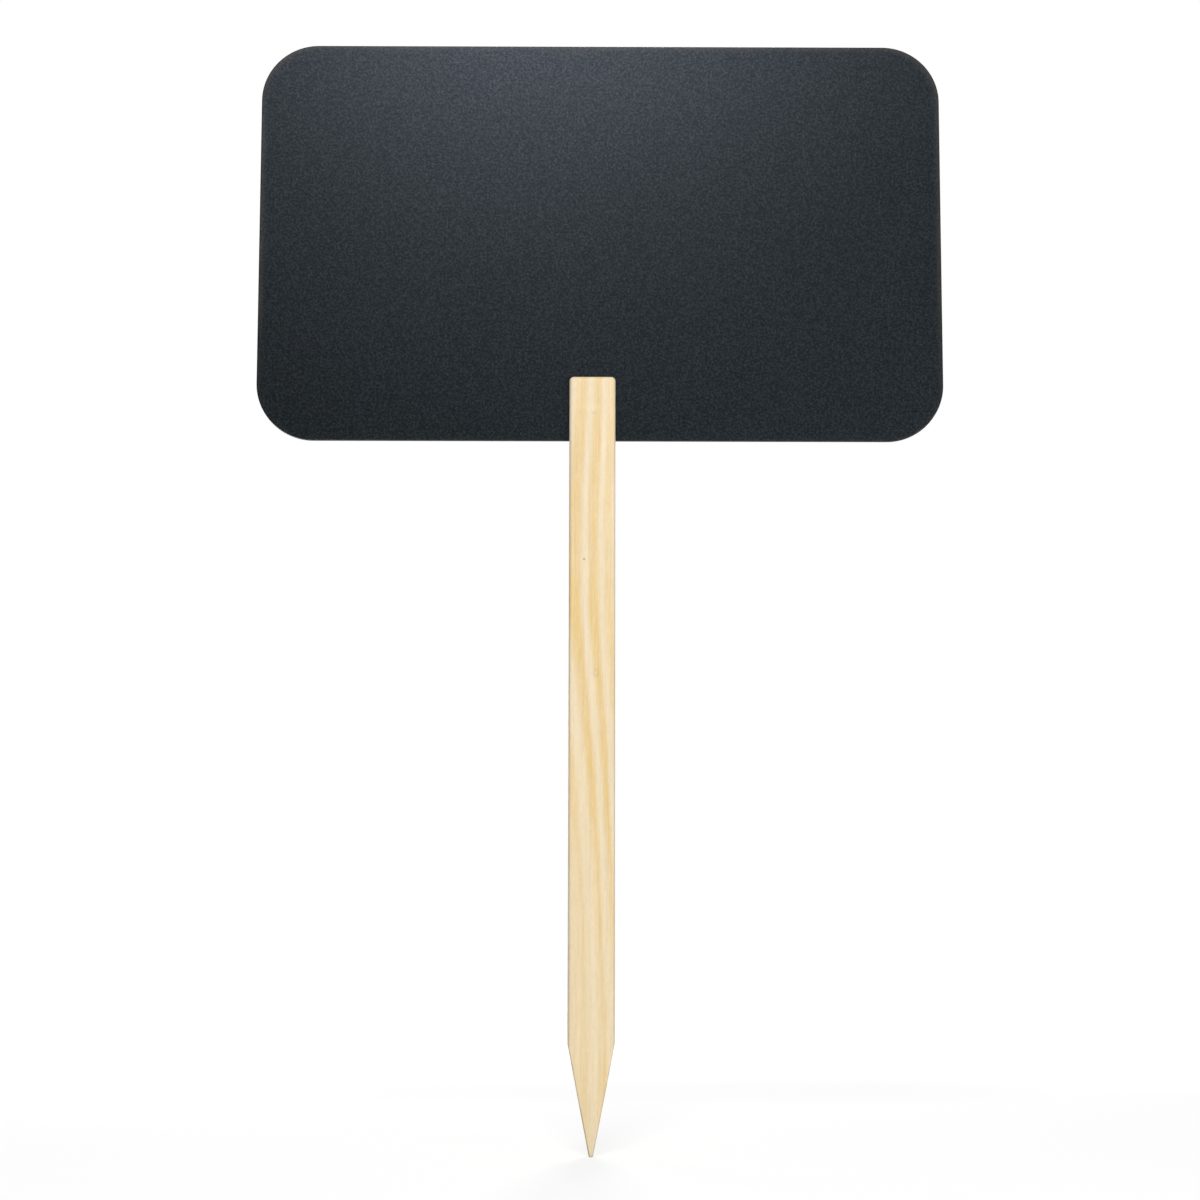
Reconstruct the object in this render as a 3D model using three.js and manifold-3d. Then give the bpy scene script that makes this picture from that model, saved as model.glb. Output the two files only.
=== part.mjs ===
// A chalkboard on a stake: a thin black writing board stands in a saw kerf in the head of a flat
// pine stake, whose point is pushed into soil.
// Millimetres, +Z up. The origin is the tip of the stake, on its axis. The board faces -Y.

import * as THREE from "three";
import { mergeVertices } from "three/addons/utils/BufferGeometryUtils.js";
import Module from "manifold-3d";

const wasm = await Module();
wasm.setup();

// Driving dimensions: the board
const BOARD_WIDTH = 300;
const BOARD_HEIGHT = 178;
const BOARD_CORNER_RADIUS = 25;
const CORE_THICKNESS = 2.2;
const CHALK_FACE_THICKNESS = 0.4;
const BOARD_RIM_EASE = 0.5;
// The board is pushed in by hand and stands a little to the right of the stake's middle.
const BOARD_SIDE_SHIFT = 3.3;

// Driving dimensions: the stake
const STAKE_WIDTH = 20;
const STAKE_THICKNESS = 12;
const STAKE_LENGTH = 333.5;
const STAKE_ARRIS_RADIUS = 1.5;
const HEAD_CORNER_RADIUS = 1.9;
const HEAD_EDGE_RADIUS = 1.5;
const POINT_LENGTH = 47;
const TIP_RADIUS = 1;

// Driving dimensions: the saw kerf that holds the board
const KERF_DEPTH = 27.5;
const KERF_SIDE_CLEARANCE = 0.2;

// Straight steps that stand for a quarter turn of a round edge
const CORNER_STEPS = 12;
const EDGE_STEPS = 4;

const BOARD_THICKNESS = CORE_THICKNESS + 2 * CHALK_FACE_THICKNESS;
const KERF_WIDTH = BOARD_THICKNESS + 2 * KERF_SIDE_CLEARANCE;
const KERF_FLOOR = STAKE_LENGTH - KERF_DEPTH;

// Finishes
const PINE = { color: 0xefd9ae, roughness: 0.6, metalness: 0 };
const CHALK = { color: 0x2f3439, roughness: 0.62, metalness: 0 };
const EDGE_PAINT = { color: 0x1e2022, roughness: 0.7, metalness: 0 };

/** A closed three.js geometry as a solid that can be cut and joined. */
function solidOf(geometry) {
  const bare = geometry.clone();
  bare.deleteAttribute("normal");
  bare.deleteAttribute("uv");
  const merged = mergeVertices(bare);
  return new wasm.Manifold(new wasm.Mesh({
    numProp: 3,
    vertProperties: new Float32Array(merged.attributes.position.array),
    triVerts: new Uint32Array(merged.index.array),
  }));
}

/** A cut or joined solid as a three.js geometry with flat faces. */
function geometryOf(solid) {
  const mesh = solid.getMesh();
  const geometry = new THREE.BufferGeometry();
  geometry.setAttribute("position", new THREE.BufferAttribute(mesh.vertProperties, 3));
  geometry.setIndex(new THREE.BufferAttribute(mesh.triVerts, 1));
  const faceted = geometry.toNonIndexed();
  faceted.computeVertexNormals();
  return faceted;
}

/** A rectangle with round corners, centred on x, that stands on the line y = bottom. */
function roundedRectangle(width, height, radius, bottom) {
  const right = width / 2;
  const top = bottom + height;
  const shape = new THREE.Shape();
  shape.moveTo(radius - right, bottom);
  shape.absarc(right - radius, bottom + radius, radius, -Math.PI / 2, 0);
  shape.absarc(right - radius, top - radius, radius, 0, Math.PI / 2);
  shape.absarc(radius - right, top - radius, radius, Math.PI / 2, Math.PI);
  shape.absarc(radius - right, bottom + radius, radius, Math.PI, 1.5 * Math.PI);
  return shape;
}

/** An outline drawn across x and up z, given its depth along y, half of it on each side. */
function throughDepth(outline, depth, steps) {
  const geometry = new THREE.ExtrudeGeometry(outline, { depth, bevelEnabled: false, curveSegments: steps });
  geometry.rotateX(Math.PI / 2);
  geometry.translate(0, depth / 2, 0);
  return geometry;
}

/** A block whose lowest and highest corners are given. */
function block(low, high) {
  const size = new THREE.Vector3().subVectors(high, low);
  const middle = new THREE.Vector3().addVectors(low, high).multiplyScalar(0.5);
  return new THREE.BoxGeometry(size.x, size.y, size.z).translate(middle.x, middle.y, middle.z);
}

/** The planed strip that the stake is sawn from, with its four long edges eased. */
function planedStrip() {
  const section = roundedRectangle(STAKE_WIDTH, STAKE_THICKNESS, STAKE_ARRIS_RADIUS, -STAKE_THICKNESS / 2);
  return new THREE.ExtrudeGeometry(section, {
    depth: STAKE_LENGTH,
    bevelEnabled: false,
    curveSegments: EDGE_STEPS,
  });
}

/** The stake seen from the front: two sawn slopes run to a blunt tip, and the head's corners are round. */
function stakeFrontOutline() {
  const side = STAKE_WIDTH / 2;
  const slopeReach = Math.hypot(side, POINT_LENGTH - TIP_RADIUS);
  const slopeStart = Math.atan2(POINT_LENGTH - TIP_RADIUS, side) - Math.acos(TIP_RADIUS / slopeReach);
  const headCentre = STAKE_LENGTH - HEAD_CORNER_RADIUS;
  const outline = new THREE.Shape();
  outline.absarc(0, TIP_RADIUS, TIP_RADIUS, Math.PI - slopeStart, 2 * Math.PI + slopeStart);
  outline.lineTo(side, POINT_LENGTH);
  outline.absarc(side - HEAD_CORNER_RADIUS, headCentre, HEAD_CORNER_RADIUS, 0, Math.PI / 2);
  outline.absarc(HEAD_CORNER_RADIUS - side, headCentre, HEAD_CORNER_RADIUS, Math.PI / 2, Math.PI);
  outline.lineTo(-side, POINT_LENGTH);
  return outline;
}

/** The stake seen from the side: the front and back edges of its head are rounded over. */
function stakeSideOutline() {
  const face = STAKE_THICKNESS / 2;
  const headCentre = STAKE_LENGTH - HEAD_EDGE_RADIUS;
  const outline = new THREE.Shape();
  outline.moveTo(-face, 0);
  outline.lineTo(face, 0);
  outline.absarc(face - HEAD_EDGE_RADIUS, headCentre, HEAD_EDGE_RADIUS, 0, Math.PI / 2);
  outline.absarc(HEAD_EDGE_RADIUS - face, headCentre, HEAD_EDGE_RADIUS, Math.PI / 2, Math.PI);
  return outline;
}

/** The space that the saw takes out of the stake's head, running out past both sides and the top. */
function kerf() {
  return block(
    new THREE.Vector3(-STAKE_WIDTH, -KERF_WIDTH / 2, KERF_FLOOR),
    new THREE.Vector3(STAKE_WIDTH, KERF_WIDTH / 2, STAKE_LENGTH + KERF_DEPTH),
  );
}

/** The stake: the strip sawn to its point, its head rounded over and the kerf cut. */
function makeStake() {
  // Each outline is made twice as deep as the strip, so that it cuts right through.
  const front = throughDepth(stakeFrontOutline(), 2 * STAKE_THICKNESS, EDGE_STEPS);
  const side = throughDepth(stakeSideOutline(), 2 * STAKE_WIDTH, EDGE_STEPS);
  side.rotateZ(Math.PI / 2);
  const solid = solidOf(planedStrip())
    .intersect(solidOf(front))
    .intersect(solidOf(side))
    .subtract(solidOf(kerf()));
  const stake = new THREE.Mesh(geometryOf(solid), new THREE.MeshStandardMaterial(PINE));
  stake.name = "stake";
  return stake;
}

/** The whole board with its rim eased on both faces, standing on z = 0. */
function boardBlank() {
  const outline = roundedRectangle(BOARD_WIDTH, BOARD_HEIGHT, BOARD_CORNER_RADIUS, 0);
  const straight = BOARD_THICKNESS - 2 * BOARD_RIM_EASE;
  const geometry = new THREE.ExtrudeGeometry(outline, {
    depth: straight,
    curveSegments: CORNER_STEPS,
    bevelEnabled: true,
    bevelThickness: BOARD_RIM_EASE,
    bevelSize: BOARD_RIM_EASE,
    bevelOffset: -BOARD_RIM_EASE,
    bevelSegments: EDGE_STEPS,
  });
  geometry.rotateX(Math.PI / 2);
  geometry.translate(0, straight / 2, 0);
  return geometry;
}

/** One layer of the board, between two depths along y. */
function makeBoardLayer(name, blank, frontDepth, backDepth, finish) {
  const slab = block(
    new THREE.Vector3(-BOARD_WIDTH, frontDepth, -BOARD_HEIGHT),
    new THREE.Vector3(BOARD_WIDTH, backDepth, 2 * BOARD_HEIGHT),
  );
  const solid = blank.intersect(solidOf(slab));
  const layer = new THREE.Mesh(geometryOf(solid), new THREE.MeshStandardMaterial(finish));
  layer.name = name;
  return layer;
}

/** The board: a core with a chalk face on each side, standing on z = 0. */
function makeBoard() {
  const blank = solidOf(boardBlank());
  const inner = CORE_THICKNESS / 2;
  const outer = BOARD_THICKNESS;
  const board = new THREE.Group();
  board.add(makeBoardLayer("board_core", blank, -inner, inner, EDGE_PAINT));
  board.add(makeBoardLayer("front_chalk_face", blank, -outer, -inner, CHALK));
  board.add(makeBoardLayer("back_chalk_face", blank, inner, outer, CHALK));
  return board;
}

const chalkboardStake = new THREE.Group();
chalkboardStake.add(makeStake());

// The board stands on the floor of the kerf.
const board = makeBoard();
board.position.set(BOARD_SIDE_SHIFT, 0, KERF_FLOOR);
chalkboardStake.add(board);

export default chalkboardStake;
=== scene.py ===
"""Dresses a chalkboard stake: a pine stake, sawn to a point, and the black board in the slot of its head.

Metres, +Z up. The origin is the tip of the stake, and the board faces -Y. The finishes count in millimetres,
because wood grain and paint speckle are easier to read at that scale.
"""

from __future__ import annotations

import logging
import math
from collections.abc import Callable, Iterator
from contextlib import contextmanager
from dataclasses import dataclass, replace
from enum import Enum
from typing import Any

import bmesh
import bpy
from mathutils import Euler, Matrix, Vector


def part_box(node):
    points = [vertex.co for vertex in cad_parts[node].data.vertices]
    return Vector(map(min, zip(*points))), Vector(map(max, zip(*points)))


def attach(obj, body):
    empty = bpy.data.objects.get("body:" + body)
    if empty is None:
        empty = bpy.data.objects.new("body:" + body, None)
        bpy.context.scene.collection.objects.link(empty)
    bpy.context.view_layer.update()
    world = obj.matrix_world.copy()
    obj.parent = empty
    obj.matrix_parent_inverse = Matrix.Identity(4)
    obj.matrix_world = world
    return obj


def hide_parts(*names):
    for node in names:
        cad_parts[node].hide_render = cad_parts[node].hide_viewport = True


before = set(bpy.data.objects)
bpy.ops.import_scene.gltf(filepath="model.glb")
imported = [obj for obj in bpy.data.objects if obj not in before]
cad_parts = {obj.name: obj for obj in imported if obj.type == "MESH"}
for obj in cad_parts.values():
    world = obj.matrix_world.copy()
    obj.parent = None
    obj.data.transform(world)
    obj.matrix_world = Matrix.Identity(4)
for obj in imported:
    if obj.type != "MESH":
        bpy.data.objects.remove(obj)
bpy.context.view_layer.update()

LOG = logging.getLogger("chalkboard_stake")
MM = 0.001
SAME_PLACE = 1e-6
Colour = tuple[float, float, float]
Span = tuple[float, float]
EdgeTest = Callable[[bmesh.types.BMEdge], bool]
EdgeShare = Callable[[bmesh.types.BMEdge], float]


def srgb(red: int, green: int, blue: int) -> Colour:
    """A colour as a picture shows it, from 0 to 255, turned into the linear light that shaders mix.

    Args:
        red: Red as shown.
        green: Green as shown.
        blue: Blue as shown.

    Returns:
        The same colour in linear light, from 0 to 1.
    """
    shares = [value / 255 for value in (red, green, blue)]
    return tuple(s / 12.92 if s <= 0.04045 else ((s + 0.055) / 1.055) ** 2.4 for s in shares)


def near(first: float, second: float) -> bool:
    """Whether two lengths are the same, give or take rounding."""
    return abs(first - second) < SAME_PLACE


class Field:
    """What a shader socket gives over a surface. Numbers have the usual operators, which add Math nodes."""

    def __init__(self, graph: ShaderGraph, socket: bpy.types.NodeSocket) -> None:
        """Wraps one output socket of a graph."""
        self.graph = graph
        self.socket = socket

    def __add__(self, other: Number) -> Field:
        """This plus other."""
        return self.graph.maths("ADD", self, other)

    def __radd__(self, other: Number) -> Field:
        """Other plus this."""
        return self.graph.maths("ADD", other, self)

    def __sub__(self, other: Number) -> Field:
        """This less other."""
        return self.graph.maths("SUBTRACT", self, other)

    def __rsub__(self, other: Number) -> Field:
        """Other less this."""
        return self.graph.maths("SUBTRACT", other, self)

    def __mul__(self, other: Number) -> Field:
        """This times other."""
        return self.graph.maths("MULTIPLY", self, other)

    def __rmul__(self, other: Number) -> Field:
        """Other times this."""
        return self.graph.maths("MULTIPLY", other, self)

    def __truediv__(self, other: Number) -> Field:
        """This over other."""
        return self.graph.maths("DIVIDE", self, other)

    def __rtruediv__(self, other: Number) -> Field:
        """Other over this."""
        return self.graph.maths("DIVIDE", other, self)

    def __pow__(self, other: Number) -> Field:
        """This to a power."""
        return self.graph.maths("POWER", self, other)

    def __abs__(self) -> Field:
        """This without its sign."""
        return self.graph.maths("ABSOLUTE", self)


Number = Field | float


@dataclass(frozen=True)
class Pattern:
    """A soft noise pattern.

    Attributes:
        cell: The size of one cell of the noise along each axis, in millimetres.
        detail: How many finer layers are added.
    """

    cell: tuple[float, float, float]
    detail: float = 0.0


class ShaderGraph:
    """The nodes of one material or of the world, written as expressions."""

    def __init__(self, owner: bpy.types.Material | bpy.types.World) -> None:
        """Empties the owner's node tree.

        Args:
            owner: The material or world whose nodes are made.
        """
        owner.use_nodes = True
        self.tree = owner.node_tree
        self.tree.nodes.clear()

    def node(
        self,
        kind: str,
        settings: dict[str, Any] | None = None,
        inputs: dict[str | int, Any] | None = None,
    ) -> bpy.types.Node:
        """Adds any node.

        Args:
            kind: The node's type.
            settings: The node's own settings, which are set first.
            inputs: A value or a Field for each socket, by name or by number.

        Returns:
            The new node.
        """
        made = self.tree.nodes.new(kind)
        for name, value in (settings or {}).items():
            setattr(made, name, value)
        for key, value in (inputs or {}).items():
            if isinstance(key, int):
                socket = made.inputs[key]
            else:
                socket = next(s for s in made.inputs if s.enabled and s.name == key)
            if isinstance(value, Field):
                self.tree.links.new(value.socket, socket)
            elif socket.type == "RGBA":
                socket.default_value = (*value, 1.0)
            else:
                socket.default_value = value
        return made

    def field(self, made: bpy.types.Node, name: str | None = None) -> Field:
        """One output of a node: the named one, or else the first in use."""
        return Field(self, next(s for s in made.outputs if s.enabled and name in (None, s.name)))

    def maths(self, operation: str, *values: Number) -> Field:
        """The result of a Math node on one or two numbers."""
        return self.field(self.node("ShaderNodeMath", {"operation": operation}, dict(enumerate(values))))

    def place(self) -> Field:
        """Where a point of the piece lies in the part's frame, in millimetres."""
        spot = self.field(self.node("ShaderNodeTexCoord"), "Object")
        return self.scaled(spot, 1 / MM)

    def facing(self) -> tuple[Field, Field, Field]:
        """The x, y and z of the way that the piece's surface faces."""
        return self.split(self.field(self.node("ShaderNodeTexCoord"), "Normal"))

    def split(self, vector: Field) -> tuple[Field, Field, Field]:
        """The x, y and z of a vector."""
        made = self.node("ShaderNodeSeparateXYZ", inputs={"Vector": vector})
        return self.field(made, "X"), self.field(made, "Y"), self.field(made, "Z")

    def scaled(self, vector: Field | Colour, amount: Number) -> Field:
        """A vector or colour made longer or brighter by one number."""
        inputs = {0: vector, "Scale": amount}
        return self.field(self.node("ShaderNodeVectorMath", {"operation": "SCALE"}, inputs))

    def stretched(self, vector: Field, by: tuple[float, float, float]) -> Field:
        """A vector or colour multiplied by its own number along each axis or in each part."""
        return self.field(self.node("ShaderNodeVectorMath", {"operation": "MULTIPLY"}, {0: vector, 1: by}))

    def step(self, value: Field, start: float, end: float) -> Field:
        """A smooth climb from 0 to 1, which may go either way.

        Args:
            value: The number that is looked at.
            start: Where the climb is still at 0.
            end: Where it has come to 1.

        Returns:
            The height of the climb at that number.
        """
        settings = {"interpolation_type": "SMOOTHSTEP"}
        limits = {"Value": value, "From Min": start, "From Max": end}
        return self.field(self.node("ShaderNodeMapRange", settings, limits))

    def noise(self, place: Field, pattern: Pattern) -> Field:
        """Soft noise around 0, mostly between -0.5 and 0.5.

        Args:
            place: The point, in millimetres.
            pattern: The pattern of the noise.

        Returns:
            The noise.
        """
        spot = self.stretched(place, tuple(1 / size for size in pattern.cell))
        inputs = {"Vector": spot, "Scale": 1.0, "Detail": pattern.detail}
        return self.field(self.node("ShaderNodeTexNoise", inputs=inputs)) - 0.5

    def mixed(self, share: Number, low: Field | Colour, high: Field | Colour) -> Field:
        """A colour that goes from low to high as share goes from 0 to 1."""
        inputs = {"Factor": share, "A": low, "B": high}
        return self.field(self.node("ShaderNodeMix", {"data_type": "RGBA"}, inputs))

    def relief(self, height: Field, depth: float) -> Field:
        """The surface's direction once it has a fine relief.

        Args:
            height: The relief, where 1 stands depth above 0.
            depth: That depth, in metres.

        Returns:
            The changed direction.
        """
        inputs = {"Strength": 1.0, "Distance": depth, "Height": height}
        return self.field(self.node("ShaderNodeBump", inputs=inputs))

    def end(self, shader: bpy.types.Node, kind: str = "ShaderNodeOutputMaterial") -> None:
        """Joins the last shader to the output."""
        self.node(kind, inputs={"Surface": self.field(shader)})


@dataclass(frozen=True)
class GrainChange:
    """A stretch of the stake over which one number of its grain changes.

    Attributes:
        start: The height where the change begins, in millimetres.
        finish: The height where it is complete, in millimetres.
        amount: What has been added to the number by then.
    """

    start: float
    finish: float
    amount: float


@dataclass(frozen=True)
class AlongStake:
    """A number of the grain that changes along the stake.

    Attributes:
        at_head: The number at the head.
        changes: Where it changes on the way down, and by how much.
    """

    at_head: float
    changes: tuple[GrainChange, ...]

    def at(self, graph: ShaderGraph, z: Field) -> Field:
        """The number at a height.

        Args:
            graph: The pine's nodes.
            z: The height, in millimetres.

        Returns:
            The number there.
        """
        number = self.at_head
        for change in self.changes:
            number = number + change.amount * graph.step(z, change.start, change.finish)
        return number


@dataclass(frozen=True)
class WoodMark:
    """A small natural mark on the front of the stake. Lengths in millimetres.

    Attributes:
        x: Where its middle lies across the stake.
        z: Where its middle lies up the stake.
        width: Its reach to each side.
        height: Its reach up and down.
        colour: Its colour.
        strength: How strongly the wood takes that colour, from 0 to 1.
        swirl: How far it pushes the ring lines aside.
        hollow: Whether only a ring of it shows.
        depth: Its reach into the wood.
        fade: Where it has faded and where it is full, in shares of its reach.
        hollow_fade: The same on the outside of a hollow mark.
        hollow_inside: The same on its inside.
    """

    x: float
    z: float
    width: float
    height: float
    colour: Colour
    strength: float
    swirl: float = 0.0
    hollow: bool = False
    depth: float = 2.0
    fade: Span = (1.6, 0.2)
    hollow_fade: Span = (1.6, 0.9)
    hollow_inside: Span = (0.3, 0.8)

    def presence(self, graph: ShaderGraph, place: Field, front: float) -> Field:
        """How much of the mark is at a point, from 0 to 1.

        Args:
            graph: The pine's nodes.
            place: The point, in millimetres.
            front: Where the stake's front lies along y.

        Returns:
            The share.
        """
        x, y, z = graph.split(place)
        across = (x - self.x) / self.width
        along = (z - self.z) / self.height
        inward = (y - front) / self.depth
        distance = (across * across + along * along + inward * inward) ** 0.5
        if self.hollow:
            return graph.step(distance, *self.hollow_fade) * graph.step(distance, *self.hollow_inside)
        return graph.step(distance, *self.fade)


@dataclass(frozen=True)
class GrowthRings:
    """The yearly rings in the stake. Each year is pale at first and ends in a dark band.

    Lengths are in millimetres, and parts of a year are shares of its width.

    Attributes:
        front: Where the stake's front lies along y.
        pith_left: How far the middle of the tree lies left of the stake's middle.
        pith_back: How far it lies behind the stake's front.
        line_place: Where the first ring line runs on the front, to the right of the stake's middle.
        wander: How far the lines wander from their places.
        wander_pattern: The pattern of that.
        raggedness: How far the edges of the lines are drawn out of true.
        ragged_pattern: The pattern of that.
        width: How wide a year is.
        quickening: How much sooner the years follow each other further out.
        band_start: Where in its year the dark band is half there.
        band_softness: How far before and after that it sets in.
        darkest: Where in its year the band is darkest.
        line_width: How far a thin line reaches to each side of that.
        evenness: The share of the late wood that is an even band. The rest is a thin line.
        vigour_mean: How dark the band of a usual year is.
        vigour_swing: How far other years differ from that.
        vigour_pace: How fast good and poor years follow each other, in radians a year.
        vigour_phase: How far from a good year the first year is, in years.
        vigour_most: How dark a band may be.
    """

    front: float
    pith_left: float = 20.0
    pith_back: float = 15.0
    line_place: AlongStake = AlongStake(
        -0.8,
        (
            GrainChange(334, 268, -2.55),
            GrainChange(240, 155, 5.6),
            GrainChange(175, 95, 3.5),
            GrainChange(110, 45, 2.4),
            GrainChange(50, 10, -0.5),
        ),
    )
    wander: float = 0.3
    wander_pattern: Pattern = Pattern((30, 30, 38), 1.0)
    raggedness: float = 0.7
    ragged_pattern: Pattern = Pattern((2.5, 2.5, 14), 2.0)
    width: AlongStake = AlongStake(
        5.5,
        (
            GrainChange(334, 285, 0.7),
            GrainChange(285, 240, 0.34),
            GrainChange(235, 190, -0.9),
            GrainChange(185, 155, -0.8),
            GrainChange(140, 100, -0.45),
            GrainChange(100, 50, 0.42),
        ),
    )
    quickening: float = 0.065
    band_start: AlongStake = AlongStake(0.225, (GrainChange(235, 150, 0.075), GrainChange(150, 105, -0.06)))
    band_softness: float = 0.14
    darkest: float = 0.64
    line_width: AlongStake = AlongStake(0.42, (GrainChange(240, 200, -0.06), GrainChange(170, 125, -0.18)))
    evenness: AlongStake = AlongStake(0.92, (GrainChange(240, 200, -0.24), GrainChange(150, 115, -0.12)))
    vigour_mean: float = 0.73
    vigour_swing: float = 0.42
    vigour_pace: float = 1.2
    vigour_phase: float = 0.4
    vigour_most: float = 1.02

    def count(self, graph: ShaderGraph, place: Field, swirl: Number) -> Field:
        """How many years a point lies outside the first ring line.

        Args:
            graph: The pine's nodes.
            place: The point, in millimetres.
            swirl: How far the natural marks push the lines aside there.

        Returns:
            The years.
        """
        x, y, z = graph.split(place)
        wander = self.wander * graph.noise(place, self.wander_pattern)
        ragged = self.raggedness * graph.noise(place, self.ragged_pattern)
        drift = self.line_place.at(graph, z) + wander + ragged + swirl
        from_left = x - drift + self.pith_left
        from_back = (y - self.front) - self.pith_back
        reach = (from_left * from_left + from_back * from_back) ** 0.5
        first_reach = math.hypot(self.pith_left, self.pith_back)
        outwards = (reach - first_reach) / self.width.at(graph, z)
        return outwards * (1.0 + self.quickening * outwards)

    def vigour(self, graph: ShaderGraph, years: Field) -> Field:
        """How dark the band of a year is.

        Args:
            graph: The pine's nodes.
            years: How many years out the point lies.

        Returns:
            The darkness, about 1 at most.
        """
        turn = self.vigour_pace * (graph.maths("FLOOR", years) + self.vigour_phase)
        dark = self.vigour_mean + self.vigour_swing * graph.maths("COSINE", turn)
        return graph.maths("MINIMUM", dark, self.vigour_most)

    def late_wood(self, graph: ShaderGraph, place: Field, swirl: Number) -> Field:
        """The late wood: 0 in the pale first part of a year, 1 in the dark band that ends it.

        Args:
            graph: The pine's nodes.
            place: The point, in millimetres.
            swirl: How far the natural marks push the lines aside there.

        Returns:
            The share of late wood, from 0 to 1.
        """
        _, _, z = graph.split(place)
        years = self.count(graph, place, swirl)
        year = graph.maths("FRACT", years)
        into_band = year - self.band_start.at(graph, z)
        setting_in = graph.step(into_band, -self.band_softness, self.band_softness)
        band = setting_in * graph.step(year, 1.0, self.darkest)
        line = graph.step(abs(year - self.darkest) / self.line_width.at(graph, z), 1.0, 0.0)
        evenness = self.evenness.at(graph, z)
        return (evenness * band + (1.0 - evenness) * line) * self.vigour(graph, years)


@dataclass(frozen=True)
class PineFinish:
    """Planed, unpainted pine with wide growth rings, sawn faces and a few natural marks.

    Lengths are in millimetres. How a face lies is the size of its normal along an axis, from 0 to 1.

    Attributes:
        front: Where the stake's front lies along y.
        point_length: The height of the sawn point.
        kerf_floor: The height of the kerf's floor.
        kerf_half_width: Half the width of the kerf.
        early_wood: The colour of the pale part of a year.
        late_wood: The colour of its dark band.
        end_grain: The colour of wood cut across.
        end_grain_share: How far cut ends take that colour.
        arris_painted_shade: Painted shade: what the eased edges of the stake multiply the colour by, a
            darker, greyer tone where light falls off round them.
        foot_tint: What the foot of the stake multiplies the colour by.
        foot_span: The heights between which that sets in.
        boldness: How strong the bands are.
        fleck: The pattern that breaks up the bands.
        fleck_contrast: How much it does.
        fibre: The pattern of the long fibres, which also stand proud.
        fibre_contrast: How much they show.
        streak: The pattern of long pale and dark streaks.
        streak_contrast: How much they show.
        short_fibre: The pattern of the short fibres.
        short_fibre_contrast: How much they show.
        mottle: The pattern of soft patches.
        mottle_contrast: How much they show.
        pore: The pattern whose peaks are pores.
        pore_span: Where in it a pore begins and is full.
        pore_contrast: How dark a pore is.
        marks: The natural marks.
        end_lies: How a face lies along z where it begins to be a cut end, and where it is one.
        slope_lies: How it lies along x where it begins to be a slope of the point, and where it is one.
        arris_lies: How it lies along x where it begins to be an eased edge, and where it is one.
        side_lies: How it lies along x where it is the stake's side, and where it is still an eased edge.
        slope_margin: How far above the point its sawn look ends.
        kerf_margin: How far outside the kerf's walls its sawn look ends.
        floor_margin: How far under the kerf's floor it ends.
        saw_spacing: How far apart the lines are that the saw's teeth left.
        saw_slant: How far they slant.
        sawn_darkness: How much darker a sawn face is.
        saw_line_contrast: How much the lines show.
        saw_line_relief: How high they stand.
        sawn_fuzz: The pattern of torn fibres between them.
        band_relief: How high the dark bands stand.
        relief_depth: How high a relief of 1 stands, in metres.
        roughness: How rough the pale wood is.
        band_polish: How much smoother the bands are.
        sawn_roughness: How much rougher sawn faces and cut ends are.
        sheen_level: How strong the reflection is.
    """

    front: float
    point_length: float
    kerf_floor: float
    kerf_half_width: float
    early_wood: Colour = srgb(246, 227, 194)
    late_wood: Colour = srgb(238, 203, 132)
    end_grain: Colour = srgb(226, 194, 142)
    end_grain_share: float = 0.6
    arris_painted_shade: Colour = (0.90, 0.91, 0.95)
    foot_tint: Colour = (1.0, 0.99, 0.94)
    foot_span: Span = (330, 60)
    boldness: AlongStake = AlongStake(
        0.49,
        (
            GrainChange(332, 308, 0.12),
            GrainChange(252, 228, 0.18),
            GrainChange(225, 190, -0.14),
            GrainChange(190, 165, 0.12),
            GrainChange(150, 112, -0.26),
            GrainChange(95, 65, -0.1),
            GrainChange(48, 32, 0.22),
        ),
    )
    fleck: Pattern = Pattern((1.0, 1.0, 13), 1.0)
    fleck_contrast: float = 0.7
    fibre: Pattern = Pattern((0.5, 0.5, 26), 2.0)
    fibre_contrast: float = 0.21
    streak: Pattern = Pattern((2.2, 2.2, 120), 1.0)
    streak_contrast: float = 0.12
    short_fibre: Pattern = Pattern((0.6, 0.6, 2.4), 1.0)
    short_fibre_contrast: float = 0.12
    mottle: Pattern = Pattern((2.0, 2.0, 7), 2.0)
    mottle_contrast: float = 0.1
    pore: Pattern = Pattern((0.35, 0.35, 5))
    pore_span: Span = (0.2, 0.3)
    pore_contrast: float = 0.05
    marks: tuple[WoodMark, ...] = (
        WoodMark(-3.5, 253.1, 0.35, 0.45, srgb(120, 92, 58), 0.75),
        WoodMark(1.65, 203.8, 0.9, 1.6, srgb(190, 150, 92), 0.2, swirl=0.2, hollow=True),
        WoodMark(-0.3, 320.0, 3.4, 1.8, srgb(250, 235, 205), 0.35, swirl=0.2),
        WoodMark(0.6, 317.3, 1.1, 0.6, srgb(205, 178, 136), 0.25),
    )
    end_lies: Span = (0.88, 0.99)
    slope_lies: Span = (0.9, 0.96)
    arris_lies: Span = (0.2, 0.6)
    side_lies: Span = (0.99, 0.9)
    slope_margin: float = 0.5
    kerf_margin: float = 0.1
    floor_margin: float = 0.5
    saw_spacing: float = 1.3
    saw_slant: float = 0.3
    sawn_darkness: float = 0.05
    saw_line_contrast: float = 0.02
    saw_line_relief: float = 0.8
    sawn_fuzz: Pattern = Pattern((0.4, 0.4, 0.4), 2.0)
    band_relief: float = 0.5
    relief_depth: float = 0.05 * MM
    roughness: float = 0.56
    band_polish: float = 0.08
    sawn_roughness: float = 0.14
    sheen_level: float = 0.3

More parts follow.
